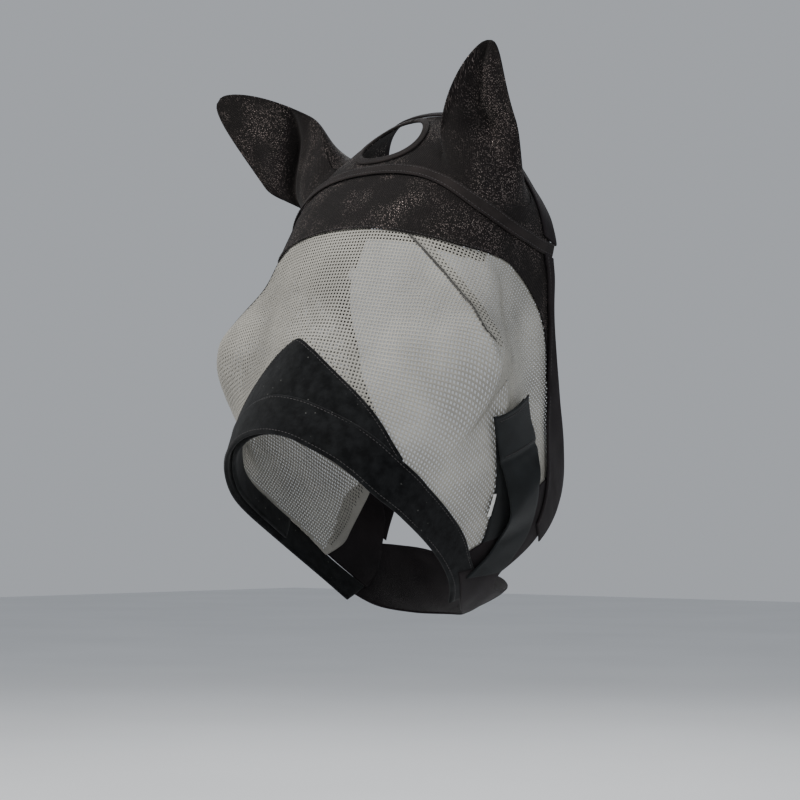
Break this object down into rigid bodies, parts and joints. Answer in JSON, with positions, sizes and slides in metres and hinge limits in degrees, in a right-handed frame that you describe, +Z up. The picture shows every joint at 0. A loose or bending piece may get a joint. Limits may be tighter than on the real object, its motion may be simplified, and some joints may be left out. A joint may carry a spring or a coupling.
{
  "type": "horse fly mask with ear covers",
  "caption": "Open-weave horse fly mask with knitted ear covers, fleece nose band and a hook and loop throat closure, shaped as worn.",
  "frame": {"origin": "on the forehead, at the middle of the seam between the brow band and the mesh, where the mask rests on the horse", "axes": "+Z up, +X the horse's left, -Y the way the horse faces"},
  "size_m": [0.3877, 0.3284, 0.523],
  "materials": {
    "mesh": "open square weave, PVC-coated",
    "knit": "knit with a metallic fleck",
    "band": "smooth stretch fabric, matt",
    "fleece": "short fleece, matt",
    "tape": "woven binding tape, matt",
    "webbing": "woven stretch webbing, slight sheen",
    "hook": "hook and loop tape, matt",
    "label": "satin label, blank"
  },
  "bodies": {
    "hood": {"face_mesh": "mesh", "brow_seam_tape": "tape", "brow_band": "knit", "brow_tape": "tape", "poll_panel": "knit", "poll_edge_band": "band", "forelock_binding": "tape", "left_dart_tape": "mesh", "right_dart_tape": "mesh", "left_edge_band": "band", "right_edge_band": "band", "left_throat_panel": "band", "right_throat_panel": "band", "nose_patch": "fleece", "nose_band": "fleece", "nose_lining": "fleece", "cheek_loop_strip": "hook", "side_label": "label"},
    "left_ear": {"left_ear_front": "knit", "left_ear_back": "knit"},
    "right_ear": {"right_ear_front": "knit", "right_ear_back": "knit"},
    "throat_flap": {"throat_flap": "band"},
    "closure_strap": {"closure_strap": "webbing", "strap_hook_tape": "hook"}
  },
  "joints": [
    {"name": "left_ear_hinge", "type": "hinge", "parent": "hood", "child": "left_ear", "pos_m": [0.1023, 0.0878, 0.0499], "axis": [0.8632, 0.5019, -0.0543], "range_deg": [-12, 15], "stiffness_Nm_per_rad": 0.4},
    {"name": "right_ear_hinge", "type": "hinge", "parent": "hood", "child": "right_ear", "pos_m": [-0.1023, 0.0878, 0.0499], "axis": [0.6801, 0.0247, 0.7327], "range_deg": [-12, 15], "stiffness_Nm_per_rad": 0.4},
    {"name": "throat_flap_hinge", "type": "hinge", "parent": "hood", "child": "throat_flap", "pos_m": [-0.0881, 0.1099, -0.3121], "axis": [-0.3267, 0.7816, 0.5314], "range_deg": [0, 80]},
    {"name": "strap_hinge", "type": "hinge", "parent": "throat_flap", "child": "closure_strap", "pos_m": [0.0861, 0.0961, -0.3198], "axis": [0.0192, 0.9948, 0.1], "range_deg": [0, 90]}
  ]
}
